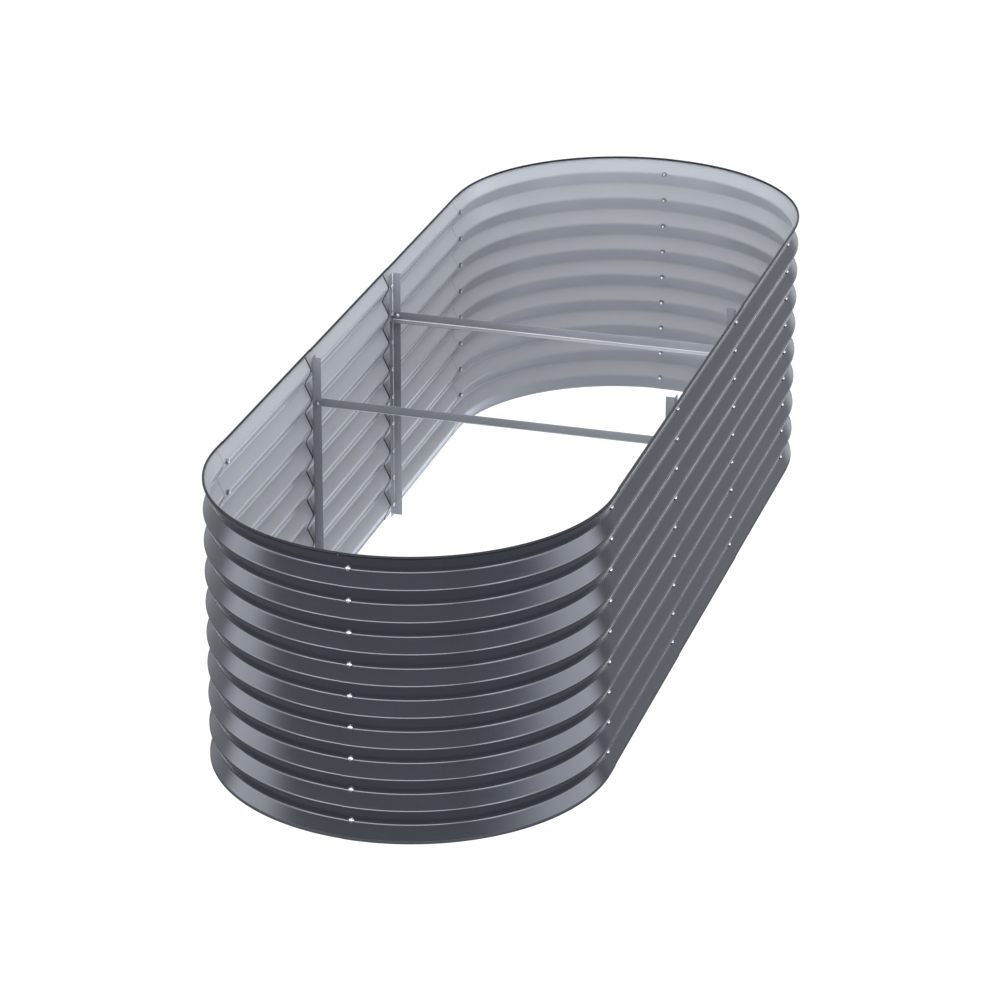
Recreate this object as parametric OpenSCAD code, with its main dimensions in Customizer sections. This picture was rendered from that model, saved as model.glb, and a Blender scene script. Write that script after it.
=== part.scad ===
// Raised garden bed: an open oval ring of wave-rolled steel panels, bolted together where
// they lap, with an angle post at each inner side seam and two angle bars across the width.
// Millimetres, Z up. The bed stands on z = 0, its length lies along X and its width along Y.
// Front is -Y, back is +Y, left is -X and right is +X.

/* [Show] */
// Sub-part to draw, or all of them

/* [Oval] */
// Length of a side panel from one bolt line to the next
panel_span = 528; // [300:1:800]
// Distance from the outermost side seam to the start of the rounded end
seam_setback = 21; // [16:1:60]
// Radius of the rounded end, to the outer face in the bottom of a groove
groove_radius = 394; // [300:1:600]

/* [Wave] */
// Number of grooves up the wall, each with a row of bolts
row_count = 9; // [3:1:12]
// Height of one whole wave
wave_pitch = 66; // [50:1:90]
// Slope of the flat flanks away from upright, in degrees
flank_tilt = 25.5; // [18:0.5:32]
// Radius of the rounded bends between the flanks
bend_radius = 8; // [6:0.5:12]
// Flat steps that stand for each rounded bend
bend_steps = 4; // [2:1:8]
// Height of the top and bottom edges beyond the last crest
edge_rise = 3; // [1:0.1:3.2]
// Thickness of the panel sheet, measured level
sheet = 0.8; // [0.6:0.1:1.5]
// Diameter of the bead rolled inward along the top edge
bead_diameter = 5; // [3:0.5:8]
// Distance that the bead stands out beyond the sheet's outer face
bead_proud = 0.3; // [0.1:0.1:0.4]
// Flat steps that stand for the round of the bead
bead_steps = 14; // [8:1:24]

/* [Laps] */
// Length of each panel beyond its bolt line
lap = 15; // [10:1:30]
// Space between the two sheets of a lap
lap_gap = 0.2; // [0.1:0.05:0.5]
// Space between the ends of two beads, and under a bead at a lap
bead_gap = 0.5; // [0.2:0.1:2]

/* [Angles] */
// Width of both legs of the posts and bars
leg = 20; // [15:1:35]
// Thickness of the angle steel
angle_wall = 1.5; // [1:0.1:3]
// Radius outside the bend of an angle
angle_bend = 2.5; // [2:0.1:4]
// Flat steps that stand for the bend of an angle
angle_steps = 5; // [2:1:8]
// Height of a post's lower end above the ground, and of its upper end below the top
post_end_gap = 7; // [2:1:30]
// Height of a cross bar's underside above the ground
bar_height = 482; // [120:1:486]
// Space between a cross bar's end and the post leg on the wall
bar_end_gap = 0.5; // [0.2:0.1:3]
// Distance from the bolt in a cross bar to the free edge of the post's inner leg
bar_bolt_edge = 6.9; // [5:0.1:9]

/* [Fasteners] */
// Diameter of the bolts
bolt_diameter = 6; // [5:0.5:6.2]
// Length of the bolts under the head
bolt_length = 10; // [9:0.5:16]
// Diameter of the domed heads
head_diameter = 10.5; // [9:0.1:12]
// Height of the domed heads
head_height = 3.3; // [2.5:0.1:4]
// Width across the flats of the socket in a head
socket_flats = 4; // [3:0.5:5]
// Depth of the socket in a head
socket_depth = 1.8; // [1:0.1:2.2]
// Diameter of the bolt holes
hole_diameter = 6.6; // [6.4:0.1:8]
// Width across the flats of the nuts
nut_flats = 10; // [9:0.1:11]
// Height of the nuts
nut_height = 3.2; // [2.4:0.1:5]
// Diameter of the nut bores
nut_bore = 6.1; // [6.02:0.02:6.3]
// Diameter of the washers
washer_diameter = 12; // [11:0.5:12.4]
// Diameter of the washer holes
washer_hole = 6.4; // [6.3:0.1:7]
// Thickness of the washers
washer_height = 1; // [0.5:0.1:1.6]
// Space left between pieces that are bolted tight
seat_gap = 0.1; // [0.05:0.05:0.2]

/* [Hidden] */
$fn = 48;

// Overrun of every cut past the face it opens
overrun = 1;
// Reach of a cut to each side of a wall
wall_reach = 30;

// Colours of the painted sheet, the painted angles and the bright fasteners
sheet_colour = [0.22, 0.23, 0.25];
angle_colour = [0.36, 0.38, 0.41];
bright_colour = [0.78, 0.79, 0.80];

// Places along the length
inner_seam_x = panel_span / 2;
outer_seam_x = inner_seam_x + panel_span;
end_centre_x = outer_seam_x + seam_setback;
end_seam_x = end_centre_x + groove_radius;

// The wave and the rim
bed_height = row_count * wave_pitch + 2 * edge_rise;
bend_cut = bend_radius / cos(flank_tilt) - bend_radius;
wave_depth = wave_pitch / 2 * tan(flank_tilt) - 2 * bend_cut;
bead_radius = bead_diameter / 2;
bead_out = wave_depth + bead_proud - bead_radius;
bead_z = bed_height - bead_radius;
bead_join_outer = acos((wave_depth - bead_out) / bead_radius);
bead_join_inner = acos((wave_depth - sheet - bead_out) / bead_radius);
bottom_bend = asin(edge_rise / bend_radius);
top_bend_outer = asin((bead_z - bead_radius * sin(bead_join_outer) - crest_z(row_count)) / bend_radius);
top_bend_inner = asin((bead_z - bead_radius * sin(bead_join_inner) - crest_z(row_count)) / bend_radius);

// The laps: each sheet is moved half a step out or in from the middle of the two
lap_step = (sheet + lap_gap) / 2;
lap_turn = asin(lap_step / inner_seam_x);
lap_angle = lap / groove_radius * 180 / PI;
notch_z = bed_height - bead_diameter - bead_gap;
notch_length = 2 * lap + bead_gap;

// Levels along a bolt, measured out from the middle of the lap
head_radius = head_diameter / 2;
head_rise = bend_radius - bend_radius * cos(flank_tilt)
    + (head_radius - bend_radius * sin(flank_tilt)) * tan(flank_tilt);
head_seat = lap_step + head_rise + seat_gap;
lap_inner = -lap_step - sheet;
leg_outer = lap_inner - seat_gap;
leg_inner = leg_outer - angle_wall;
washer_on_sheet = lap_inner - seat_gap - washer_height;
washer_on_post = leg_inner - seat_gap - washer_height;
nut_on_sheet = washer_on_sheet - seat_gap - nut_height;
nut_on_post = washer_on_post - seat_gap - nut_height;
dome_radius = (head_radius * head_radius + head_height * head_height) / (2 * head_height);
nut_corners = nut_flats / cos(30);
socket_corners = socket_flats / cos(30);

// Places of the posts and bars
post_face_y = groove_radius + leg_outer;
post_edge_y = post_face_y - leg;
post_corner_x = inner_seam_x + leg / 2;
bar_face_x = post_corner_x - angle_wall - seat_gap;
bar_half = groove_radius + leg_inner - bar_end_gap;
bar_bolt_y = post_edge_y + bar_bolt_edge;
bar_bolt_z = bar_height + leg / 2;

// Height of a bolt row, and of the crest below it
function row_z(k) = crest_z(k) + wave_pitch / 2;
function crest_z(k) = edge_rise + k * wave_pitch;

// Angles of the steps round one bend
function steps_between(low, high) =
    [for (i = [0 : bend_steps]) low + (high - low) * i / bend_steps];

// Outline of a crest and of a groove, as distance out from the groove's bottom and height
function crest_points(k, low, high) = [for (a = steps_between(low, high))
    [wave_depth - bend_radius + bend_radius * cos(a), crest_z(k) + bend_radius * sin(a)]];
function groove_points(k) = [for (a = steps_between(-flank_tilt, flank_tilt))
    [bend_radius - bend_radius * cos(a), row_z(k) + bend_radius * sin(a)]];

// Line of the wave from the bottom edge up to the bead, which it meets at the given angle
function wave_line(top_bend) = [
    each crest_points(0, -bottom_bend, flank_tilt),
    for (k = [0 : row_count - 1]) each concat(
        groove_points(k),
        crest_points(k + 1, -flank_tilt, k == row_count - 1 ? top_bend : flank_tilt)
    )
];
outer_line = wave_line(top_bend_outer);
inner_line = wave_line(top_bend_inner);

// Round of the bead, from the outer face over the top and back to the inner face
bead_sweep = 360 - bead_join_inner + bead_join_outer;
bead_line = [for (i = [1 : bead_steps - 1])
    let (a = bead_sweep * i / bead_steps - bead_join_outer)
    [bead_out + bead_radius * cos(a), bead_z + bead_radius * sin(a)]];

// Section through a panel: the outer face, the bead, and the inner face one sheet further in
module wave_section() {
    polygon(concat(
        outer_line,
        bead_line,
        [for (i = [len(inner_line) - 1 : -1 : 0]) [inner_line[i].x - sheet, inner_line[i].y]]
    ));
}

// Straight wall from the origin along X, with its outer side facing +Y
module straight_wall(length) {
    rotate([90, 0, 90])
        linear_extrude(height = length)
            wave_section();
}

// Quarter-round wall about the origin from -Y round to +X and one lap on,
// with the straight end that reaches the side seam
module quarter_wall() {
    rotate([0, 0, -90])
        rotate_extrude(angle = 90 + lap_angle)
            translate([groove_radius, 0])
                wave_section();
    translate([0, -groove_radius, 0])
        rotate([0, 0, 180])
            straight_wall(seam_setback + lap);
}

// Places for the nine fasteners of a seam, with +Z pointing out of the bed
module seam_rows(x, y, facing) {
    for (k = [0 : row_count - 1])
        translate([x, y, row_z(k)])
            rotate([0, 0, facing])
                rotate([0, 90, 0])
                    children();
}

// Hole through a wall, centred on the lap
module bolt_hole() {
    cylinder(d = hole_diameter, h = 2 * wall_reach, center = true);
}

// Clearance over the top of a panel's inner lap, for the bead of the panel outside it
module lap_notch(x) {
    translate([x, groove_radius - wall_reach, notch_z])
        cube([notch_length + overrun, 2 * wall_reach, bead_diameter + bead_gap + overrun]);
}

// Side panel of the back wall, centred on x, with its outer lap at the right
module side_panel(x) {
    color(sheet_colour)
        difference() {
            translate([x, groove_radius, 0])
                rotate([0, 0, lap_turn])
                    translate([-panel_span / 2 - lap, 0, 0])
                        straight_wall(panel_span + 2 * lap);
            seam_rows(x - panel_span / 2, groove_radius, 90)
                bolt_hole();
            seam_rows(x + panel_span / 2, groove_radius, 90)
                bolt_hole();
            lap_notch(x - panel_span / 2 - lap - overrun);
        }
}

// Quarter of the right end at the back. Its lap in the middle of the end and its lap on the
// back wall each lie outside (1) or inside (-1) the next panel's.
module end_panel(end_side, wall_side) {
    color(sheet_colour)
        difference() {
            translate([end_centre_x + end_side * lap_step, wall_side * lap_step, 0])
                mirror([0, 1, 0])
                    quarter_wall();
            seam_rows(end_seam_x, 0, 0)
                bolt_hole();
            seam_rows(outer_seam_x, groove_radius, 90)
                bolt_hole();
            if (end_side < 0)
                translate([end_seam_x - wall_reach, -lap - overrun, notch_z])
                    cube([2 * wall_reach, notch_length + overrun, bead_diameter + bead_gap + overrun]);
            if (wall_side < 0)
                lap_notch(outer_seam_x - lap - overrun);
        }
}

// Section of an angle: corner at the origin, one leg along +X and one along +Y
module angle_section() {
    inner_bend = angle_bend - angle_wall;
    polygon(concat(
        [for (i = [0 : angle_steps]) let (a = 180 + 90 * i / angle_steps)
            [angle_bend + angle_bend * cos(a), angle_bend + angle_bend * sin(a)]],
        [[leg, 0], [leg, angle_wall]],
        [for (i = [angle_steps : -1 : 0]) let (a = 180 + 90 * i / angle_steps)
            [angle_bend + inner_bend * cos(a), angle_bend + inner_bend * sin(a)]],
        [[angle_wall, leg], [0, leg]]
    ));
}

// Post at the right inner seam of the back wall, corner on the side away from the middle
module post_shape() {
    color(angle_colour)
        difference() {
            translate([post_corner_x, post_face_y, post_end_gap])
                rotate([0, 0, 180])
                    linear_extrude(height = bed_height - 2 * post_end_gap)
                        angle_section();
            seam_rows(inner_seam_x, groove_radius, 90)
                bolt_hole();
            translate([post_corner_x, bar_bolt_y, bar_bolt_z])
                rotate([0, 90, 0])
                    cylinder(d = hole_diameter, h = leg, center = true);
        }
}

// Bar at the right, upright leg against the posts and level leg towards the middle
module bar_shape() {
    color(angle_colour)
        difference() {
            translate([bar_face_x, bar_half, bar_height])
                rotate([90, 0, 0])
                    mirror([1, 0, 0])
                        linear_extrude(height = 2 * bar_half)
                            angle_section();
            for (side = [-1, 1])
                translate([bar_face_x, side * bar_bolt_y, bar_bolt_z])
                    rotate([0, 90, 0])
                        cylinder(d = hole_diameter, h = leg, center = true);
        }
}

// Bolt with its head's underside on z = 0 and its shank down -Z
module bolt() {
    difference() {
        intersection() {
            translate([0, 0, head_height - dome_radius])
                sphere(r = dome_radius);
            cylinder(r = head_radius, h = head_height);
        }
        translate([0, 0, head_height - socket_depth])
            cylinder(d = socket_corners, h = socket_depth + overrun, $fn = 6);
    }
    translate([0, 0, -bolt_length])
        cylinder(d = bolt_diameter, h = bolt_length);
}

// Hexagon nut standing on z = 0
module nut() {
    difference() {
        cylinder(d = nut_corners, h = nut_height, $fn = 6);
        translate([0, 0, -overrun])
            cylinder(d = nut_bore, h = nut_height + 2 * overrun);
    }
}

// Washer lying on z = 0
module washer() {
    difference() {
        cylinder(d = washer_diameter, h = washer_height);
        translate([0, 0, -overrun])
            cylinder(d = washer_hole, h = washer_height + 2 * overrun);
    }
}

// A seam's bolts, and its nuts and washers on the bare sheet or on a post
module seam_bolts() {
    color(bright_colour)
        translate([0, 0, head_seat])
            bolt();
}
module sheet_nut() {
    color(bright_colour)
        translate([0, 0, nut_on_sheet])
            nut();
}
module post_nut() {
    color(bright_colour)
        translate([0, 0, nut_on_post])
            nut();
}
module sheet_washer() {
    color(bright_colour)
        translate([0, 0, washer_on_sheet])
            washer();
}
module post_washer() {
    color(bright_colour)
        translate([0, 0, washer_on_post])
            washer();
}

// The ten seams
module at_left_end() { seam_rows(-end_seam_x, 0, 180) children(); }
module at_right_end() { seam_rows(end_seam_x, 0, 0) children(); }
module at_front_outer_left() { seam_rows(-outer_seam_x, -groove_radius, -90) children(); }
module at_front_inner_left() { seam_rows(-inner_seam_x, -groove_radius, -90) children(); }
module at_front_inner_right() { seam_rows(inner_seam_x, -groove_radius, -90) children(); }
module at_front_outer_right() { seam_rows(outer_seam_x, -groove_radius, -90) children(); }
module at_back_outer_left() { seam_rows(-outer_seam_x, groove_radius, 90) children(); }
module at_back_inner_left() { seam_rows(-inner_seam_x, groove_radius, 90) children(); }
module at_back_inner_right() { seam_rows(inner_seam_x, groove_radius, 90) children(); }
module at_back_outer_right() { seam_rows(outer_seam_x, groove_radius, 90) children(); }

// The four bolted ends of the bars, with +Z pointing to the middle of the bed
module at_bar_ends() {
    for (turn = [0, 180])
        for (side = [-1, 1])
            rotate([0, 0, turn])
                translate([bar_face_x, side * bar_bolt_y, bar_bolt_z])
                    rotate([0, -90, 0])
                        children();
}

// Panels
module front_panel_left() { mirror([0, 1, 0]) side_panel(-panel_span); }
module front_panel_middle() { mirror([0, 1, 0]) side_panel(0); }
module front_panel_right() { mirror([0, 1, 0]) side_panel(panel_span); }
module back_panel_left() { side_panel(-panel_span); }
module back_panel_middle() { side_panel(0); }
module back_panel_right() { side_panel(panel_span); }
module left_end_panel_front() { rotate([0, 0, 180]) end_panel(1, 1); }
module left_end_panel_back() { mirror([1, 0, 0]) end_panel(-1, 1); }
module right_end_panel_front() { mirror([0, 1, 0]) end_panel(-1, -1); }
module right_end_panel_back() { end_panel(1, -1); }

// Posts and bars
module post_front_left() { rotate([0, 0, 180]) post_shape(); }
module post_front_right() { mirror([0, 1, 0]) post_shape(); }
module post_back_left() { mirror([1, 0, 0]) post_shape(); }
module post_back_right() { post_shape(); }
module cross_bar_left() { mirror([1, 0, 0]) bar_shape(); }
module cross_bar_right() { bar_shape(); }

// Fasteners of the bars: heads on the bars, washers and nuts on the posts
module cross_bar_bolts() {
    color(bright_colour)
        at_bar_ends()
            translate([0, 0, angle_wall + seat_gap])
                bolt();
}
module cross_bar_washers() {
    color(bright_colour)
        at_bar_ends()
            translate([0, 0, -2 * seat_gap - angle_wall - washer_height])
                washer();
}
module cross_bar_nuts() {
    color(bright_colour)
        at_bar_ends()
            translate([0, 0, -3 * seat_gap - angle_wall - washer_height - nut_height])
                nut();
}

// Bolts of the seams
module bolts_left_end() { at_left_end() seam_bolts(); }
module bolts_right_end() { at_right_end() seam_bolts(); }
module bolts_front_outer_left() { at_front_outer_left() seam_bolts(); }
module bolts_front_inner_left() { at_front_inner_left() seam_bolts(); }
module bolts_front_inner_right() { at_front_inner_right() seam_bolts(); }
module bolts_front_outer_right() { at_front_outer_right() seam_bolts(); }
module bolts_back_outer_left() { at_back_outer_left() seam_bolts(); }
module bolts_back_inner_left() { at_back_inner_left() seam_bolts(); }
module bolts_back_inner_right() { at_back_inner_right() seam_bolts(); }
module bolts_back_outer_right() { at_back_outer_right() seam_bolts(); }

// Nuts of the seams
module nuts_left_end() { at_left_end() sheet_nut(); }
module nuts_right_end() { at_right_end() sheet_nut(); }
module nuts_front_outer_left() { at_front_outer_left() sheet_nut(); }
module nuts_front_inner_left() { at_front_inner_left() post_nut(); }
module nuts_front_inner_right() { at_front_inner_right() post_nut(); }
module nuts_front_outer_right() { at_front_outer_right() sheet_nut(); }
module nuts_back_outer_left() { at_back_outer_left() sheet_nut(); }
module nuts_back_inner_left() { at_back_inner_left() post_nut(); }
module nuts_back_inner_right() { at_back_inner_right() post_nut(); }
module nuts_back_outer_right() { at_back_outer_right() sheet_nut(); }

// Washers of the seams
module washers_left_end() { at_left_end() sheet_washer(); }
module washers_right_end() { at_right_end() sheet_washer(); }
module washers_front_outer_left() { at_front_outer_left() sheet_washer(); }
module washers_front_inner_left() { at_front_inner_left() post_washer(); }
module washers_front_inner_right() { at_front_inner_right() post_washer(); }
module washers_front_outer_right() { at_front_outer_right() sheet_washer(); }
module washers_back_outer_left() { at_back_outer_left() sheet_washer(); }
module washers_back_inner_left() { at_back_inner_left() post_washer(); }
module washers_back_inner_right() { at_back_inner_right() post_washer(); }
module washers_back_outer_right() { at_back_outer_right() sheet_washer(); }

front_panel_left();
front_panel_middle();
front_panel_right();
back_panel_left();
back_panel_middle();
back_panel_right();
left_end_panel_front();
left_end_panel_back();
right_end_panel_front();
right_end_panel_back();
post_front_left();
post_front_right();
post_back_left();
post_back_right();
cross_bar_left();
cross_bar_right();
cross_bar_bolts();
cross_bar_nuts();
cross_bar_washers();
bolts_left_end();
bolts_right_end();
bolts_front_outer_left();
bolts_front_inner_left();
bolts_front_inner_right();
bolts_front_outer_right();
bolts_back_outer_left();
bolts_back_inner_left();
bolts_back_inner_right();
bolts_back_outer_right();
nuts_left_end();
nuts_right_end();
nuts_front_outer_left();
nuts_front_inner_left();
nuts_front_inner_right();
nuts_front_outer_right();
nuts_back_outer_left();
nuts_back_inner_left();
nuts_back_inner_right();
nuts_back_outer_right();
washers_left_end();
washers_right_end();
washers_front_outer_left();
washers_front_inner_left();
washers_front_inner_right();
washers_front_outer_right();
washers_back_outer_left();
washers_back_inner_left();
washers_back_inner_right();
washers_back_outer_right();
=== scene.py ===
"""Looks of a raised garden bed: wave-rolled steel panels, angle posts and bars, and bright fasteners.

Metres, Z up. The bed stands on z = 0, its length lies along X and its width along Y.
Every node of the frame is replaced by one finished piece in the same place.
"""
import math
import random

import bmesh
import bpy
from mathutils import Matrix, Vector


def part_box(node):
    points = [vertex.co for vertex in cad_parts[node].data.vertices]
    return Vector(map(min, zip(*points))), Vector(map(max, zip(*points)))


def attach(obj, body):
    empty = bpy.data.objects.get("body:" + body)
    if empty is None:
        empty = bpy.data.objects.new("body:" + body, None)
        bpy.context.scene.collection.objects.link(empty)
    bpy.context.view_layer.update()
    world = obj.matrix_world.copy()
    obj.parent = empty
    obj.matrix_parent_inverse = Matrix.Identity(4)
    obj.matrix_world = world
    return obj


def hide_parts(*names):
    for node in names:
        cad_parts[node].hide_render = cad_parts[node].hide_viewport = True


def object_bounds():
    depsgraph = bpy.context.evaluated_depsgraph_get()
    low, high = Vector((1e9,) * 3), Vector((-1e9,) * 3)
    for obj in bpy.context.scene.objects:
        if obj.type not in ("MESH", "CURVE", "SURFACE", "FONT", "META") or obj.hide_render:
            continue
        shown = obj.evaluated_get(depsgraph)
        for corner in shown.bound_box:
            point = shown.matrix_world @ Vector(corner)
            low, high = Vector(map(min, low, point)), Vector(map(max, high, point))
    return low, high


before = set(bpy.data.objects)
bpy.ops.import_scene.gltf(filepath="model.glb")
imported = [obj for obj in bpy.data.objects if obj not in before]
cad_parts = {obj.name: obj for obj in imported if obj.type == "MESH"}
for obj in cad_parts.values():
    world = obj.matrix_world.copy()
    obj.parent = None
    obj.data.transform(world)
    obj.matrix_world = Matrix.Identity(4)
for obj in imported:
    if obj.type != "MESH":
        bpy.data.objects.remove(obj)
cad_low, cad_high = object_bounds()

# The oval
PANEL_SPAN = 0.528
SEAM_SETBACK = 0.021
GROOVE_RADIUS = 0.394
INNER_SEAM_X = PANEL_SPAN / 2
OUTER_SEAM_X = INNER_SEAM_X + PANEL_SPAN
END_CENTRE_X = OUTER_SEAM_X + SEAM_SETBACK
END_SEAM_X = END_CENTRE_X + GROOVE_RADIUS

# The wave of the sheet and its rolled top edge
ROW_COUNT = 9
WAVE_PITCH = 0.066
FLANK_TILT = math.radians(25.5)
BEND_RADIUS = 0.008
BEND_STEPS = 6
EDGE_RISE = 0.003
SLOPE_SHEET = 0.00072
LEVEL_SHEET = 0.0008
CURL_RADIUS = 0.0025
CURL_SWEEP = math.radians(280)
CURL_STEPS = 16
FLANK_STRIP = 0.0014
BED_HEIGHT = cad_high.z
BEND_CUT = BEND_RADIUS / math.cos(FLANK_TILT) - BEND_RADIUS
WAVE_DEPTH = WAVE_PITCH / 2 * math.tan(FLANK_TILT) - 2 * BEND_CUT
FLANK_LENGTH = (WAVE_PITCH / 2 - 2 * BEND_RADIUS * math.sin(FLANK_TILT)) / math.cos(FLANK_TILT)

# Places of a sheet's paints in its list, and the limits between them. The third paint is painted
# shadow by the posts, the last a painted highlight on bends.
OUTSIDE, INSIDE, PAINTED_SHADOW, RIM, FOOT, PAINTED_HIGHLIGHT = range(6)
RIM_START = 0.5945
FOOT_TOP = 0.0066
# Width of the band of painted shadow along the edge of a lap by a post
SHADOW_BAND_WIDTH = 0.0042
FACING_ALONG = 0.5
FACING_DOWN = -0.3

# The laps
LAP = 0.015
LAP_STEP = 0.0005
LAP_TURN = math.asin(LAP_STEP / INNER_SEAM_X)
LAP_ANGLE = LAP / GROOVE_RADIUS
NOTCH_LENGTH = 0.0305
NOTCH_DEPTH = 0.0066
NOTCH_HEIGHT = BED_HEIGHT - NOTCH_DEPTH
NOTCH_STEPS = 3
END_STEPS = 48
SEAT_GAP = 0.0001

# The angles
LEG = 0.020
ANGLE_WALL = 0.0015
ANGLE_BEND = 0.0025
ANGLE_STEPS = 6
BEND_LINE = 0.0004
BEND_REACH = 0.0011
SHARP_EDGE = math.radians(60)
EDGE_BREAK = 0.0003
BREAK_STEPS = 2
POST_END_GAP = 0.007
POST_FACE_Y = GROOVE_RADIUS - LAP_STEP - LEVEL_SHEET - SEAT_GAP
BAR_HEIGHT = 0.482

# The fasteners
BOLT_RADIUS = 0.003
BOLT_LENGTH = 0.010
HEAD_RADIUS = 0.00525
HEAD_HEIGHT = 0.0033
HEAD_SEAT = 0.00224
SOCKET_RADIUS = 0.0017
SOCKET_DEPTH = 0.0013
NUT_RADIUS = 0.00577
NUT_HEIGHT = 0.0032
WASHER_RADIUS = 0.006
WASHER_HOLE = 0.0032
WASHER_HEIGHT = 0.001
WASHER_SEAT = 0.0014
THREAD_PITCH = 0.001
THREAD_DEPTH = 0.0003
THREAD_LENGTH = 0.005
THREAD_TURNS = 4
HEX_CORNERS = 6
BAR_BOLT_MARGIN = 0.0069
ROUND_STEPS = 20
SEAM_SEED = 11
BAR_SEED = 5


def row_height(row):
    """Height of a row of bolts, in the bottom of a groove."""
    return crest_height(row) + WAVE_PITCH / 2


def crest_height(row):
    """Height of the crest below a row of bolts."""
    return EDGE_RISE + row * WAVE_PITCH


# Lines and sheets
def bend(bm, tip, out, height, angle, steps):
    """Carries a line round a bend about a centre, and returns its new tip."""
    made = bmesh.ops.spin(
        bm, geom=[tip], cent=(0, out, height), axis=(1, 0, 0), angle=angle, steps=steps
    )
    return made["geom_last"][0]


def run(bm, tip, step):
    """Carries a line straight on by one step, and returns its new tip."""
    tip = bmesh.ops.extrude_vert_indiv(bm, verts=[tip])["verts"][0]
    bmesh.ops.translate(bm, verts=[tip], vec=step)
    return tip


def flank(bm, tip, side):
    """Carries a line up one flat flank, inward or outward, with a narrow strip at each end."""
    way = Vector((0, side * math.sin(FLANK_TILT), math.cos(FLANK_TILT)))
    tip = run(bm, tip, way * FLANK_STRIP)
    tip = run(bm, tip, way * (FLANK_LENGTH - 2 * FLANK_STRIP))
    return run(bm, tip, way * FLANK_STRIP)


def wave_line(bm):
    """Draws the outer face of the sheet from its bottom edge to the end of the rolled rim."""
    crest = WAVE_DEPTH - BEND_RADIUS
    tip = bm.verts.new((0, WAVE_DEPTH, 0))
    tip = run(bm, tip, (0, 0, EDGE_RISE))
    tip = bend(bm, tip, crest, EDGE_RISE, FLANK_TILT, BEND_STEPS)
    for row in range(ROW_COUNT):
        tip = flank(bm, tip, -1)
        tip = bend(bm, tip, BEND_RADIUS, row_height(row), -2 * FLANK_TILT, BEND_STEPS)
        tip = flank(bm, tip, 1)
        if row < ROW_COUNT - 1:
            tip = bend(bm, tip, crest, crest_height(row + 1), 2 * FLANK_TILT, BEND_STEPS)
    top = crest_height(ROW_COUNT)
    arm = BEND_RADIUS - CURL_RADIUS
    rim_turn = math.asin((BED_HEIGHT - CURL_RADIUS - top) / arm)
    tip = bend(bm, tip, crest, top, FLANK_TILT + rim_turn, BEND_STEPS)
    curl_out = crest + arm * math.cos(rim_turn)
    bend(bm, tip, curl_out, BED_HEIGHT - CURL_RADIUS, CURL_SWEEP, CURL_STEPS)


def drawn_on(bm, line, length):
    """Draws a line of edges out along X into a strip, and returns the strip's far line."""
    made = bmesh.ops.extrude_edge_only(bm, edges=line)["geom"]
    far = [g for g in made if isinstance(g, bmesh.types.BMVert)]
    bmesh.ops.translate(bm, verts=far, vec=(length, 0, 0))
    return [g for g in made if isinstance(g, bmesh.types.BMEdge)]


def swung_on(bm, line, angle, steps):
    """Swings a line of edges about the end's upright axis, and returns the strip's far line."""
    corners = list(dict.fromkeys(v for e in line for v in e.verts))
    made = bmesh.ops.spin(
        bm, geom=corners + line, cent=(0, -GROOVE_RADIUS, 0), axis=(0, 0, 1), angle=angle, steps=steps
    )
    return [g for g in made["geom_last"] if isinstance(g, bmesh.types.BMEdge)]


def cut_notch(bm, faces):
    """Takes the rolled rim off the given faces, where another panel's rim passes over them."""
    above = [f for f in faces if min(v.co.z for v in f.verts) > NOTCH_HEIGHT]
    bmesh.ops.delete(bm, geom=above, context="FACES")


def thicken(bm, shadow_bands, highlight_lines):
    """Gives a sheet its thickness inward, and its faces their paints.

    The given bands and the upright cuts of a sheet that has them get a near-black painted shadow.
    Inside, a sheet given highlight lines has a painted highlight along both bends of each flank that
    faces down.
    """
    bmesh.ops.recalc_face_normals(bm, faces=bm.faces)
    outer = set(bm.faces)
    shadow_banded = set(shadow_bands)
    if sum(f.normal.y * f.calc_area() for f in outer) < 0:
        bmesh.ops.reverse_faces(bm, faces=bm.faces)
    for f in bm.faces:
        f.material_index = PAINTED_SHADOW if f in shadow_banded else INSIDE
    made = bmesh.ops.solidify(bm, geom=list(bm.faces), thickness=SLOPE_SHEET)["geom"]
    inner = {g for g in made if isinstance(g, bmesh.types.BMFace)}
    for f in bm.faces:
        height = f.calc_center_median().z
        if height > RIM_START:
            f.material_index = RIM
        elif f in outer:
            f.material_index = OUTSIDE if height > FOOT_TOP else FOOT
        elif f not in inner:
            # Upright cuts of a sheet by a post get the painted shadow
            f.material_index = PAINTED_SHADOW if shadow_banded and abs(f.normal.x) > FACING_ALONG else INSIDE
        # Narrow strips at both bends of a flank that faces down, inside: painted highlight
        elif highlight_lines and f.material_index == INSIDE and f.normal.z < FACING_DOWN:
            heights = [v.co.z for v in f.verts]
            f.material_index = PAINTED_HIGHLIGHT if max(heights) - min(heights) < FLANK_STRIP else INSIDE


def side_sheet(shadow_banded):
    """Side panel of the back wall about the origin, its inner lap at the left.

    Where that lap is by a post, the inside has a narrow band of painted shadow along its edge.
    """
    bm = bmesh.new()
    wave_line(bm)
    half = PANEL_SPAN / 2 + LAP
    bmesh.ops.translate(bm, verts=bm.verts, vec=(-half, 0, 0))
    line = drawn_on(bm, list(bm.edges), SHADOW_BAND_WIDTH)
    shadow_bands = list(bm.faces) if shadow_banded else []
    line = drawn_on(bm, line, NOTCH_LENGTH - SHADOW_BAND_WIDTH)
    notched = list(bm.faces)
    drawn_on(bm, line, 2 * half - NOTCH_LENGTH)
    cut_notch(bm, notched)
    thicken(bm, [f for f in shadow_bands if f.is_valid], highlight_lines=True)
    bmesh.ops.rotate(bm, verts=bm.verts, matrix=Matrix.Rotation(LAP_TURN, 3, "Z"))
    return bm


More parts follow.
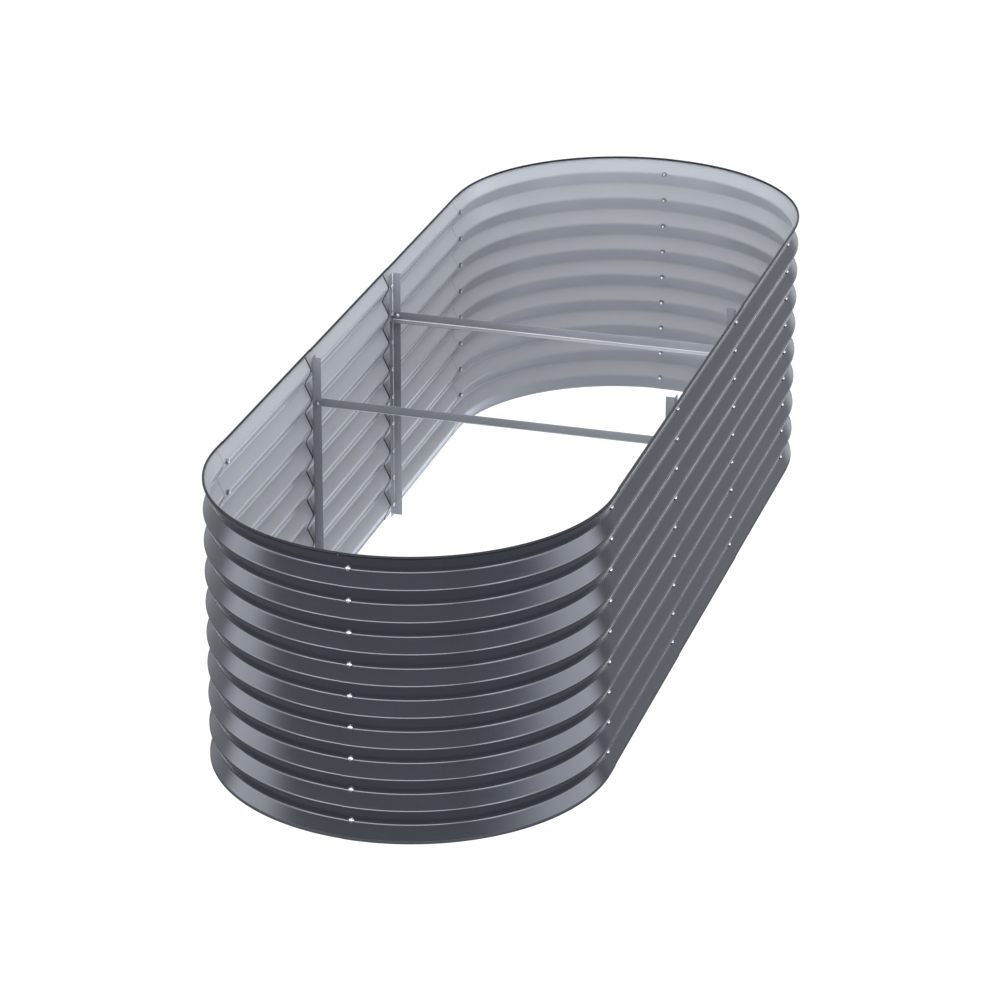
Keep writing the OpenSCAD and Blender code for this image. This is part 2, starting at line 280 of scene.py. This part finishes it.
def end_sheet(end_side, wall_side):
    """Back quarter of the right end about its upright axis, with the straight tab to the side seam.

    Its laps at the end seam and at the wall lie outside (1) or inside (-1) the next panel's.
    """
    bm = bmesh.new()
    wave_line(bm)
    tab = SEAM_SETBACK + LAP
    bmesh.ops.translate(bm, verts=bm.verts, vec=(-tab, 0, 0))
    line = drawn_on(bm, list(bm.edges), NOTCH_LENGTH)
    tab_faces = list(bm.faces)
    line = drawn_on(bm, line, tab - NOTCH_LENGTH)
    notch_angle = NOTCH_LENGTH / GROOVE_RADIUS
    line = swung_on(bm, line, -(math.pi / 2 + LAP_ANGLE - notch_angle), END_STEPS)
    before = set(bm.faces)
    swung_on(bm, line, -notch_angle, NOTCH_STEPS)
    lap_faces = [f for f in bm.faces if f not in before]
    if wall_side < 0:
        cut_notch(bm, tab_faces)
    if end_side < 0:
        cut_notch(bm, lap_faces)
    thicken(bm, [], highlight_lines=False)
    bmesh.ops.translate(bm, verts=bm.verts, vec=(0, GROOVE_RADIUS, 0))
    return bm


# Angles
def angle_length(length, outer_highlight):
    """Angle standing on the origin: corner on the Z axis, one leg along +X and one along +Y.

    Its inner bend has the second paint, a painted highlight, and so has its outer bend where asked.
    """
    bm = bmesh.new()
    tip = bm.verts.new((LEG, 0, 0))
    tip = run(bm, tip, (ANGLE_BEND + BEND_LINE - LEG, 0, 0))
    tip = run(bm, tip, (-BEND_LINE, 0, 0))
    centre = (ANGLE_BEND, ANGLE_BEND, 0)
    made = bmesh.ops.spin(
        bm, geom=[tip], cent=centre, axis=(0, 0, 1), angle=-math.pi / 2, steps=ANGLE_STEPS
    )
    tip = run(bm, made["geom_last"][0], (0, BEND_LINE, 0))
    run(bm, tip, (0, LEG - ANGLE_BEND - BEND_LINE, 0))
    made = bmesh.ops.extrude_edge_only(bm, edges=list(bm.edges))["geom"]
    top = [g for g in made if isinstance(g, bmesh.types.BMVert)]
    bmesh.ops.translate(bm, verts=top, vec=(0, 0, length))
    bmesh.ops.recalc_face_normals(bm, faces=bm.faces)
    if sum((f.normal.x + f.normal.y) * f.calc_area() for f in bm.faces) > 0:
        bmesh.ops.reverse_faces(bm, faces=bm.faces)
    bmesh.ops.solidify(bm, geom=list(bm.faces), thickness=ANGLE_WALL)
    inner = (ANGLE_WALL + ANGLE_BEND) / 2
    leg_paint, bend_highlight = range(2)
    for f in bm.faces:
        middle = f.calc_center_median()
        # Bend faces get the second paint, a painted highlight
        in_bend = math.hypot(middle.x - inner, middle.y - inner) < BEND_REACH
        on_corner = outer_highlight and max(middle.x, middle.y) < ANGLE_BEND
        f.material_index = bend_highlight if in_bend or on_corner else leg_paint
    sharp = [e for e in bm.edges if e.calc_face_angle(0) > SHARP_EDGE]
    bmesh.ops.bevel(
        bm, geom=sharp, offset=EDGE_BREAK, segments=BREAK_STEPS, profile=0.5,
        affect="EDGES", material=-1,
    )
    return bm


def post_angle():
    """Post at the right inner seam of the back wall, its corner away from the middle."""
    bm = angle_length(BED_HEIGHT - 2 * POST_END_GAP, outer_highlight=False)
    place = Matrix.Translation((INNER_SEAM_X + LEG / 2, POST_FACE_Y, POST_END_GAP))
    bmesh.ops.transform(bm, matrix=place @ Matrix.Rotation(math.pi, 4, "Z"), verts=bm.verts)
    return bm


def bar_angle():
    """Bar at the right, its upright leg against the posts and its level leg towards the middle."""
    low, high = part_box("cross_bar_right")
    bm = angle_length(high.y - low.y, outer_highlight=True)
    lie_down = Matrix.Rotation(math.pi / 2, 4, "X") @ Matrix.Scale(-1, 4, (1, 0, 0))
    place = Matrix.Translation((high.x, high.y, low.z))
    bmesh.ops.transform(bm, matrix=place @ lie_down, verts=bm.verts)
    bmesh.ops.reverse_faces(bm, faces=bm.faces)
    return bm


# Fasteners
def ring(bm, corners, radius, height):
    """One level ring of edges."""
    place = Matrix.Translation((0, 0, height))
    made = bmesh.ops.create_circle(bm, segments=corners, radius=radius, matrix=place)["verts"]
    return list(dict.fromkeys(e for v in made for e in v.link_edges))


def turned(rings, closed):
    """Turned shape through a stack of rings, each given as corners, radius and height.

    Where it is closed the last ring joins the first, and otherwise both have a flat floor.
    """
    bm = bmesh.new()
    loops = [ring(bm, *r) for r in rings]
    pairs = list(zip(loops, loops[1:]))
    if closed:
        pairs.append((loops[-1], loops[0]))
    for first, second in pairs:
        bmesh.ops.bridge_loops(bm, edges=first + second)
    if not closed:
        bmesh.ops.contextual_create(bm, geom=loops[0])
        bmesh.ops.contextual_create(bm, geom=loops[-1])
    bmesh.ops.recalc_face_normals(bm, faces=bm.faces)
    return bm


def bolt_shape():
    """Button-head bolt, the head's underside on z = 0 and the shank down -Z."""
    dome = (HEAD_RADIUS ** 2 + HEAD_HEIGHT ** 2) / (2 * HEAD_HEIGHT)
    dome_steps = 4
    dome_share = 0.985
    socket_edge = 0.0022
    under_break = 0.0002
    first_turn = math.asin(socket_edge / dome)
    last_turn = math.asin(HEAD_RADIUS / dome) * dome_share
    top = HEAD_HEIGHT - dome + dome * math.cos(first_turn)
    rings = [
        (HEX_CORNERS, SOCKET_RADIUS, HEAD_HEIGHT - SOCKET_DEPTH),
        (HEX_CORNERS, SOCKET_RADIUS, top),
    ]
    for step in range(dome_steps + 1):
        turn = first_turn + (last_turn - first_turn) * step / dome_steps
        height = HEAD_HEIGHT - dome + dome * math.cos(turn)
        rings.append((ROUND_STEPS, dome * math.sin(turn), height))
    rings.append((ROUND_STEPS, HEAD_RADIUS - under_break, 0))
    rings.append((ROUND_STEPS, BOLT_RADIUS, 0))
    thread_top = THREAD_LENGTH - BOLT_LENGTH
    rings.append((ROUND_STEPS, BOLT_RADIUS, thread_top))
    for turn in range(THREAD_TURNS):
        root = thread_top - (turn + 0.5) * THREAD_PITCH
        rings.append((ROUND_STEPS, BOLT_RADIUS - THREAD_DEPTH, root))
        rings.append((ROUND_STEPS, BOLT_RADIUS, root - THREAD_PITCH / 2))
    rings.append((ROUND_STEPS, BOLT_RADIUS - 2 * THREAD_DEPTH, -BOLT_LENGTH))
    return turned(rings, closed=False)


def nut_shape():
    """Hexagon nut on z = 0, chamfered outside and countersunk at both ends of its bore."""
    chamfer = 0.0004
    play = 0.00005
    mouth = BOLT_RADIUS + chamfer
    bore = BOLT_RADIUS + play
    return turned([
        (ROUND_STEPS, bore, chamfer),
        (ROUND_STEPS, mouth, 0),
        (HEX_CORNERS, NUT_RADIUS - 2 * chamfer, 0),
        (HEX_CORNERS, NUT_RADIUS, chamfer),
        (HEX_CORNERS, NUT_RADIUS, NUT_HEIGHT - chamfer),
        (HEX_CORNERS, NUT_RADIUS - 2 * chamfer, NUT_HEIGHT),
        (ROUND_STEPS, mouth, NUT_HEIGHT),
        (ROUND_STEPS, bore, NUT_HEIGHT - chamfer),
    ], closed=True)


def washer_shape():
    """Washer on z = 0 with slightly rounded outer corners."""
    break_size = 0.0002
    return turned([
        (ROUND_STEPS, WASHER_HOLE, 0),
        (ROUND_STEPS, WASHER_RADIUS - break_size, 0),
        (ROUND_STEPS, WASHER_RADIUS, break_size),
        (ROUND_STEPS, WASHER_RADIUS, WASHER_HEIGHT - break_size),
        (ROUND_STEPS, WASHER_RADIUS - break_size, WASHER_HEIGHT),
        (ROUND_STEPS, WASHER_HOLE, WASHER_HEIGHT),
    ], closed=True)


def at_places(shape, places, spin_source):
    """Copies of a shape at the given places, each turned about its own axis by chance."""
    pattern = bpy.data.meshes.new("pattern")
    shape.to_mesh(pattern)
    shape.free()
    bm = bmesh.new()
    for place in places:
        known = len(bm.verts)
        bm.from_mesh(pattern)
        bm.verts.ensure_lookup_table()
        turn = Matrix.Rotation(spin_source.uniform(0, math.tau), 4, "Z")
        bmesh.ops.transform(bm, matrix=place @ turn, verts=bm.verts[known:])
    bpy.data.meshes.remove(pattern)
    return bm


def seam_places(x, y, facing, level):
    """The nine fastener places of a seam, at a level out from the groove's bottom."""
    return [
        Matrix.Translation((x, y, row_height(row)))
        @ Matrix.Rotation(math.radians(facing), 4, "Z")
        @ Matrix.Rotation(math.pi / 2, 4, "Y")
        @ Matrix.Translation((0, 0, level))
        for row in range(ROW_COUNT)
    ]


# Materials
CLOUD_SHARE = 0.2
SHEEN_ROUGHNESS = 0.15


def nodes_of(material):
    """Clears a material's nodes and returns the tree with its shader and Object coordinates."""
    material.use_nodes = True
    tree = material.node_tree
    tree.nodes.clear()
    out = tree.nodes.new("ShaderNodeOutputMaterial")
    shader = tree.nodes.new("ShaderNodeBsdfPrincipled")
    place = tree.nodes.new("ShaderNodeTexCoord")
    tree.links.new(shader.outputs["BSDF"], out.inputs["Surface"])
    return tree, shader, place.outputs["Object"]


def noise(tree, place, scale, detail, roughness=0.5, stretch=(1, 1, 1)):
    """Noise pattern on Object coordinates, stretched by its own Mapping."""
    mapping = tree.nodes.new("ShaderNodeMapping")
    mapping.inputs["Scale"].default_value = stretch
    tree.links.new(place, mapping.inputs["Vector"])
    node = tree.nodes.new("ShaderNodeTexNoise")
    node.inputs["Scale"].default_value = scale
    node.inputs["Detail"].default_value = detail
    node.inputs["Roughness"].default_value = roughness
    tree.links.new(mapping.outputs["Vector"], node.inputs["Vector"])
    return node.outputs["Fac"]


def spread(tree, value, low, high, from_low=0.3, from_high=0.7):
    """Value mapped from the usual span of a noise to the given span."""
    node = tree.nodes.new("ShaderNodeMapRange")
    node.inputs["From Min"].default_value = from_low
    node.inputs["From Max"].default_value = from_high
    node.inputs["To Min"].default_value = low
    node.inputs["To Max"].default_value = high
    tree.links.new(value, node.inputs["Value"])
    return node.outputs["Result"]


def two_tone(tree, value, dark, light):
    """Colour between two tones, led by a value from 0 to 1."""
    node = tree.nodes.new("ShaderNodeValToRGB")
    node.color_ramp.elements[0].color = (*dark, 1)
    node.color_ramp.elements[1].color = (*light, 1)
    tree.links.new(value, node.inputs["Fac"])
    return node.outputs["Color"]


def bump(tree, shader, value, distance, strength):
    """Bump on a shader from a height value."""
    node = tree.nodes.new("ShaderNodeBump")
    node.inputs["Distance"].default_value = distance
    node.inputs["Strength"].default_value = strength
    tree.links.new(value, node.inputs["Height"])
    tree.links.new(node.outputs["Normal"], shader.inputs["Normal"])


def maths(tree, operation, first, second):
    """One Math node; an operand is a number or another node's output."""
    node = tree.nodes.new("ShaderNodeMath")
    node.operation = operation
    for socket, operand in zip(node.inputs, (first, second)):
        if isinstance(operand, (int, float)):
            socket.default_value = operand
        else:
            tree.links.new(operand, socket)
    return node.outputs["Value"]


def painted(name, dark, light, roughness, specular=0.5, haze_span=0.12, sheen=0.0, painted_light_axis=None):
    """Baked paint on steel: cloudy tone, faint haze in the gloss and a fine orange peel.

    With an axis given, light and shade are painted along it: the tone is dark at one place on that
    axis and light at another.
    """
    material = bpy.data.materials.new(name)
    tree, shader, place = nodes_of(material)
    cloud = spread(tree, noise(tree, place, scale=5, detail=4, roughness=0.6), 0, 1)
    if painted_light_axis:
        axis, dark_at, light_at = painted_light_axis
        parts = tree.nodes.new("ShaderNodeSeparateXYZ")
        tree.links.new(place, parts.inputs["Vector"])
        lean = spread(tree, parts.outputs[axis], 0, 1 - CLOUD_SHARE, dark_at, light_at)
        cloud = maths(tree, "ADD", lean, maths(tree, "MULTIPLY", cloud, CLOUD_SHARE))
    tone = two_tone(tree, cloud, dark, light)
    tree.links.new(tone, shader.inputs["Base Color"])
    haze = noise(tree, place, scale=40, detail=5, roughness=0.6, stretch=(1, 1, 3))
    hazy = spread(tree, haze, roughness * (1 - haze_span), roughness * (1 + haze_span))
    tree.links.new(hazy, shader.inputs["Roughness"])
    shader.inputs["Specular IOR Level"].default_value = specular
    shader.inputs["Sheen Weight"].default_value = sheen
    shader.inputs["Sheen Roughness"].default_value = SHEEN_ROUGHNESS
    peel = noise(tree, place, scale=900, detail=2)
    bump(tree, shader, peel, distance=0.000004, strength=0.3)
    return material


def bright(name, dark, light, roughness):
    """Bright plated steel: cloudy tone, and a fine grain in its gloss and its surface."""
    material = bpy.data.materials.new(name)
    tree, shader, place = nodes_of(material)
    cloud = noise(tree, place, scale=260, detail=3, roughness=0.6)
    tone = two_tone(tree, spread(tree, cloud, 0, 1), dark, light)
    tree.links.new(tone, shader.inputs["Base Color"])
    shader.inputs["Metallic"].default_value = 1
    haze = noise(tree, place, scale=700, detail=3)
    least = 0.8 * roughness
    most = 1.3 * roughness
    tree.links.new(spread(tree, haze, least, most), shader.inputs["Roughness"])
    bump(tree, shader, haze, distance=0.00003, strength=0.4)
    return material


OUTSIDE_PAINT = painted(
    "anthracite_paint",
    dark=(0.0180, 0.0205, 0.0245),
    light=(0.0215, 0.0240, 0.0285),
    roughness=0.13,
    specular=1.0,
    sheen=0.5,
)
# Painted shade: the rolled rim is the outside paint wrapped over, made near-black to stand in for its
# shade
RIM_PAINT = painted(
    "dark_rim_paint",
    dark=(0.008, 0.009, 0.010),
    light=(0.012, 0.013, 0.014),
    roughness=0.3,
    specular=0.3,
)
INSIDE_PAINT = painted(
    "pale_grey_back_coat",
    dark=(0.472, 0.482, 0.500),
    light=(0.492, 0.502, 0.520),
    roughness=0.22,
    haze_span=0.04,
)
# Painted shadow: near-black along a lap's edge by a post, where the post shades the wall
LAP_SHADOW_PAINT = painted(
    "painted_lap_shadow",
    dark=(0.015, 0.016, 0.018),
    light=(0.03, 0.032, 0.036),
    roughness=0.5,
)
# Painted light: the posts' paint grows paler towards the foot, and the far post's is a paler, lit
# copy
POST_PAINT = painted(
    "grey_post_paint",
    dark=(0.185, 0.193, 0.216),
    light=(0.345, 0.360, 0.395),
    roughness=0.3,
    painted_light_axis=("Z", 0.6, 0),
)
FAR_POST_PAINT = painted(
    "paler_grey_post_paint",
    dark=(0.190, 0.198, 0.218),
    light=(0.680, 0.695, 0.725),
    roughness=0.3,
    painted_light_axis=("Z", 0.32, 0),
)
# Painted light: the bars' paint grows paler towards the front wall, and the far bar's is a paler, lit
# copy
BAR_PAINT = painted(
    "pale_grey_bar_paint",
    dark=(0.185, 0.193, 0.209),
    light=(0.400, 0.413, 0.440),
    roughness=0.3,
    painted_light_axis=("Y", 0.4, -0.4),
)
FAR_BAR_PAINT = painted(
    "paler_grey_bar_paint",
    dark=(0.165, 0.172, 0.187),
    light=(0.450, 0.464, 0.494),
    roughness=0.3,
    painted_light_axis=("Y", 0.4, -0.3),
)
# Painted highlight: a pale strip on bends where light catches them, inside the sheets and on the
# angles
BEND_HIGHLIGHT_PAINT = painted(
    "painted_bend_highlight",
    dark=(0.78, 0.79, 0.80),
    light=(0.86, 0.87, 0.88),
    roughness=0.3,
)
# Painted highlight on the bends of the near posts, dimmer than the far post's
POST_BEND_HIGHLIGHT = painted(
    "grey_post_painted_bend_highlight",
    dark=(0.40, 0.41, 0.43),
    light=(0.46, 0.47, 0.49),
    roughness=0.3,
)
FOOT_PAINT = painted(
    "dull_foot_paint",
    dark=(0.030, 0.031, 0.034),
    light=(0.038, 0.039, 0.042),
    roughness=0.6,
    specular=0.3,
)
BRIGHT_STEEL = bright("bright_plated_steel", (0.56, 0.57, 0.59), (0.68, 0.69, 0.70), roughness=0.22)
# Painted light: a paler copy of the zinc for the nuts by the posts, which the posts shade
PALE_ZINC = bright("pale_zinc", (0.84, 0.85, 0.87), (0.92, 0.93, 0.94), roughness=0.55)
DULL_ZINC = bright("dull_zinc", (0.21, 0.22, 0.24), (0.30, 0.31, 0.33), roughness=0.4)

# Pieces
SHARP_TURN = math.radians(35)
HALF_TURN = Matrix.Rotation(math.pi, 4, "Z")
FLIP_X = Matrix.Scale(-1, 4, (1, 0, 0))
FLIP_Y = Matrix.Scale(-1, 4, (0, 1, 0))
SHEET_FINISH = [OUTSIDE_PAINT, INSIDE_PAINT, LAP_SHADOW_PAINT, RIM_PAINT, FOOT_PAINT, BEND_HIGHLIGHT_PAINT]


def piece(name, bm, materials):
    """Adds the finished piece that replaces the frame's node of that name."""
    mesh = bpy.data.meshes.new(name)
    for f in bm.faces:
        f.smooth = True
    bm.to_mesh(mesh)
    bm.free()
    mesh.set_sharp_from_angle(angle=SHARP_TURN)
    for material in materials:
        mesh.materials.append(material)
    thing = bpy.data.objects.new(name + "_finished", mesh)
    bpy.context.scene.collection.objects.link(thing)
    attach(thing, "root")
    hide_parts(name)


def moved(bm, matrix):
    """The same mesh after a move; one that mirrors it also turns its faces back out."""
    bmesh.ops.transform(bm, matrix=matrix, verts=bm.verts)
    if matrix.determinant() < 0:
        bmesh.ops.reverse_faces(bm, faces=bm.faces)
    return bm


def make_panels():
    """Six side panels and four quarters of the rounded ends."""
    for name, x in (("left", -PANEL_SPAN), ("middle", 0), ("right", PANEL_SPAN)):
        back = Matrix.Translation((x, GROOVE_RADIUS, 0))
        # The middle and right panels have their laps by posts, so they get the band of painted shadow
        shadow_banded = name != "left"
        sheet = moved(side_sheet(shadow_banded), back)
        piece("back_panel_" + name, sheet, SHEET_FINISH)
        sheet = moved(side_sheet(shadow_banded), FLIP_Y @ back)
        piece("front_panel_" + name, sheet, SHEET_FINISH)
    ends = (
        ("right_end_panel_back", Matrix.Identity(4), 1, -1),
        ("right_end_panel_front", FLIP_Y, -1, -1),
        ("left_end_panel_back", FLIP_X, -1, 1),
        ("left_end_panel_front", HALF_TURN, 1, 1),
    )
    for name, place, end_side, wall_side in ends:
        shift = Matrix.Translation((END_CENTRE_X + end_side * LAP_STEP, wall_side * LAP_STEP, 0))
        sheet = moved(end_sheet(end_side, wall_side), place @ shift)
        piece(name, sheet, SHEET_FINISH)


def make_angles():
    """Four posts and two cross bars."""
    posts = (
        # The far post has the paler, lit copy of the post paint and a brighter painted highlight on
        # its bend
        ("post_back_right", Matrix.Identity(4), [FAR_POST_PAINT, BEND_HIGHLIGHT_PAINT]),
        ("post_back_left", FLIP_X, [POST_PAINT, POST_BEND_HIGHLIGHT]),
        ("post_front_right", FLIP_Y, [POST_PAINT, POST_BEND_HIGHLIGHT]),
        ("post_front_left", HALF_TURN, [POST_PAINT, POST_BEND_HIGHLIGHT]),
    )
    for name, place, finish in posts:
        piece(name, moved(post_angle(), place), finish)
    # The far bar has the paler, lit copy of the bar paint
    piece("cross_bar_right", bar_angle(), [FAR_BAR_PAINT, BEND_HIGHLIGHT_PAINT])
    piece("cross_bar_left", moved(bar_angle(), FLIP_X), [BAR_PAINT, BEND_HIGHLIGHT_PAINT])


SEAMS = {
    "left_end": (-END_SEAM_X, 0, 180),
    "right_end": (END_SEAM_X, 0, 0),
    "front_outer_left": (-OUTER_SEAM_X, -GROOVE_RADIUS, -90),
    "front_inner_left": (-INNER_SEAM_X, -GROOVE_RADIUS, -90),
    "front_inner_right": (INNER_SEAM_X, -GROOVE_RADIUS, -90),
    "front_outer_right": (OUTER_SEAM_X, -GROOVE_RADIUS, -90),
    "back_outer_left": (-OUTER_SEAM_X, GROOVE_RADIUS, 90),
    "back_inner_left": (-INNER_SEAM_X, GROOVE_RADIUS, 90),
    "back_inner_right": (INNER_SEAM_X, GROOVE_RADIUS, 90),
    "back_outer_right": (OUTER_SEAM_X, GROOVE_RADIUS, 90),
}


def make_seam_fasteners():
    """Bolts, washers and nuts of the ten seams, one piece of each kind for a seam."""
    chance = random.Random(SEAM_SEED)
    for seam, (x, y, facing) in SEAMS.items():
        on_post = "inner" in seam
        leg_step = ANGLE_WALL + SEAT_GAP if on_post else 0
        washer_level = -WASHER_SEAT - WASHER_HEIGHT - leg_step
        nut_level = washer_level - SEAT_GAP - NUT_HEIGHT
        kinds = (
            ("bolts_", bolt_shape(), HEAD_SEAT, BRIGHT_STEEL),
            ("washers_", washer_shape(), washer_level, DULL_ZINC),
            # Nuts by the posts are paler: painted light where the post shades them
            ("nuts_", nut_shape(), nut_level, PALE_ZINC if on_post else DULL_ZINC),
        )
        for kind, shape, level, metal in kinds:
            copies = at_places(shape, seam_places(x, y, facing, level), chance)
            piece(kind + seam, copies, [metal])


def bar_places(level):
    """The four bolted ends of the bars, at a level from the bars' bolted faces to the middle."""
    face_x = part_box("cross_bar_right")[1].x
    bolt_y = POST_FACE_Y - LEG + BAR_BOLT_MARGIN
    return [
        turn
        @ Matrix.Translation((face_x, side * bolt_y, BAR_HEIGHT + LEG / 2))
        @ Matrix.Rotation(-math.pi / 2, 4, "Y")
        @ Matrix.Translation((0, 0, level))
        for turn in (Matrix.Identity(4), HALF_TURN)
        for side in (-1, 1)
    ]


def make_bar_fasteners():
    """Bolts with their heads on the bars, and washers and nuts on the posts."""
    chance = random.Random(BAR_SEED)
    washer_level = -2 * SEAT_GAP - ANGLE_WALL - WASHER_HEIGHT
    nut_level = washer_level - SEAT_GAP - NUT_HEIGHT
    kinds = (
        ("cross_bar_bolts", bolt_shape(), ANGLE_WALL + SEAT_GAP, BRIGHT_STEEL),
        ("cross_bar_washers", washer_shape(), washer_level, DULL_ZINC),
        ("cross_bar_nuts", nut_shape(), nut_level, DULL_ZINC),
    )
    for name, shape, level, metal in kinds:
        piece(name, at_places(shape, bar_places(level), chance), [metal])


# Studio
def make_camera():
    """Camera at the photograph's viewing angle."""
    data = bpy.data.cameras.new("camera")
    data.sensor_width = 36
    data.lens = 134.88077426
    data.clip_end = 200
    camera = bpy.data.objects.new("camera", data)
    camera.location = (-7.20148590, -2.04319311, 3.43147063)
    camera.rotation_euler = (1.16358761, -0.00326605, -1.28525399)
    bpy.context.scene.collection.objects.link(camera)
    bpy.context.scene.camera = camera


def stage_piece(name, bm, colour, strength):
    """Glowing piece of the studio, which isn't part of the bed."""
    mesh = bpy.data.meshes.new(name)
    bm.to_mesh(mesh)
    bm.free()
    material = bpy.data.materials.new(name)
    material.use_nodes = True
    tree = material.node_tree
    tree.nodes.clear()
    out = tree.nodes.new("ShaderNodeOutputMaterial")
    glow = tree.nodes.new("ShaderNodeEmission")
    glow.inputs["Color"].default_value = (*colour, 1)
    glow.inputs["Strength"].default_value = strength
    tree.links.new(glow.outputs["Emission"], out.inputs["Surface"])
    mesh.materials.append(material)
    thing = bpy.data.objects.new(name, mesh)
    bpy.context.scene.collection.objects.link(thing)
    return thing


def make_floor():
    """Plain white floor that only the camera sees, so it adds no light of its own."""
    reach = 60
    white_strength = 1.1
    floor_height = -0.0005
    bm = bmesh.new()
    bmesh.ops.create_grid(bm, x_segments=1, y_segments=1, size=reach)
    floor = stage_piece("white_floor", bm, (1, 1, 1), white_strength)
    floor.location.z = floor_height
    floor.visible_diffuse = False
    floor.visible_glossy = False
    floor.visible_shadow = False


def fade(tree, value, dark, full):
    """Smooth step that is 0 where the value is dark and 1 where it is full."""
    node = tree.nodes.new("ShaderNodeMapRange")
    node.interpolation_type = "SMOOTHSTEP"
    node.inputs["From Min"].default_value = dark
    node.inputs["From Max"].default_value = full
    tree.links.new(value, node.inputs["Value"])
    return node.outputs["Result"]


def band_glow(tree, elevation, low, high):
    """Level band of light; low and high are each two angles above the horizon, dark and full."""
    return maths(tree, "MULTIPLY", fade(tree, elevation, *low), fade(tree, elevation, *high))


def side_mask(tree, level_x, level_y, azimuth, dark, full):
    """Keeps a band of light to one side of the studio, within an angle to each side of an azimuth."""
    turn = math.radians(azimuth)
    towards = maths(
        tree, "ADD",
        maths(tree, "MULTIPLY", level_x, math.cos(turn)),
        maths(tree, "MULTIPLY", level_y, math.sin(turn)),
    )
    return fade(tree, towards, math.cos(math.radians(dark)), math.cos(math.radians(full)))


# Each glow has a colour and a strength, a lower and an upper edge as angles above the horizon, dark
# and full, and where it isn't all round an azimuth with two half widths, dark beyond and full within.
GLOWS = (
    ((0.98, 0.99, 1.00), 2.00, (30, 56), (95, 92), None),
    ((0.86, 0.92, 1.00), 0.38, (-22, -12), (56, 30), None),
    ((0.90, 0.94, 1.00), 0.26, (-22, -12), (30, 15), (45, 82, 55)),
    ((0.90, 0.94, 1.00), 0.22, (-95, -92), (-12, -22), None),
    ((0.86, 0.90, 1.00), 2.25, (-18, -12), (15, 9), (150, 78, 58)),
    ((0.83, 0.87, 1.00), 2.50, (-18, -12), (21, 11), (-88, 50, 32)),
    ((0.83, 0.87, 1.00), 0.34, (-27, -21), (-3, -12), (-18, 20, 8)),
    ((0.84, 0.92, 1.00), 1.00, (8, 14), (34, 28), (0, 22, 8)),
    ((1.00, 0.99, 0.97), 1.45, (36, 44), (62, 54), (180, 42, 18)),
    ((0.86, 0.90, 1.00), 3.60, (-12, -5), (9, 3), (195, 72, 50)),
)


def make_studio():
    """Soft studio light in the world around the bed, the sum of all the glows."""
    world = bpy.data.worlds.new("studio")
    bpy.context.scene.world = world
    world.use_nodes = True
    tree = world.node_tree
    tree.nodes.clear()
    out = tree.nodes.new("ShaderNodeOutputWorld")
    sky = tree.nodes.new("ShaderNodeBackground")
    tree.links.new(sky.outputs["Background"], out.inputs["Surface"])
    way = tree.nodes.new("ShaderNodeTexCoord").outputs["Generated"]
    split = tree.nodes.new("ShaderNodeSeparateXYZ")
    tree.links.new(way, split.inputs["Vector"])
    x = split.outputs["X"]
    y = split.outputs["Y"]
    rise = split.outputs["Z"]
    elevation = maths(tree, "MULTIPLY", maths(tree, "ARCSINE", rise, 0), 180 / math.pi)
    squares = maths(tree, "ADD", maths(tree, "MULTIPLY", x, x), maths(tree, "MULTIPLY", y, y))
    level_length = maths(tree, "SQRT", squares, 0)
    level_x = maths(tree, "DIVIDE", x, level_length)
    level_y = maths(tree, "DIVIDE", y, level_length)
    total = None
    for colour, strength, low, high, side in GLOWS:
        glow = band_glow(tree, elevation, low, high)
        if side:
            glow = maths(tree, "MULTIPLY", glow, side_mask(tree, level_x, level_y, *side))
        tint = tree.nodes.new("ShaderNodeVectorMath")
        tint.operation = "SCALE"
        tint.inputs["Vector"].default_value = [strength * c for c in colour]
        tree.links.new(glow, tint.inputs["Scale"])
        if total:
            added = tree.nodes.new("ShaderNodeVectorMath")
            tree.links.new(total, added.inputs[0])
            tree.links.new(tint.outputs["Vector"], added.inputs[1])
            total = added.outputs["Vector"]
        else:
            total = tint.outputs["Vector"]
    tree.links.new(total, sky.inputs["Color"])


def make_glow_below(name, strength, mirrored):
    """Softly glowing floor inside the bed, either mirrored by the inner faces or lighting them."""
    wall_gap = 0.001
    radius = GROOVE_RADIUS + WAVE_DEPTH - wall_gap
    corners = 64
    tint = (0.82, 0.88, 1.00)
    bm = bmesh.new()
    bmesh.ops.create_circle(bm, cap_ends=True, segments=corners, radius=radius)
    for v in bm.verts:
        v.co.x += math.copysign(END_CENTRE_X, v.co.x)
    glow = stage_piece(name, bm, tint, strength)
    glow.visible_camera = False
    glow.visible_glossy = mirrored
    glow.visible_diffuse = not mirrored
    glow.visible_shadow = not mirrored


make_camera()
make_panels()
make_angles()
make_seam_fasteners()
make_bar_fasteners()
make_floor()
make_studio()
make_glow_below("glow_lighting", strength=0.36, mirrored=False)
make_glow_below("glow_mirrored", strength=1.70, mirrored=True)
bpy.context.scene.view_settings.view_transform = "Standard"
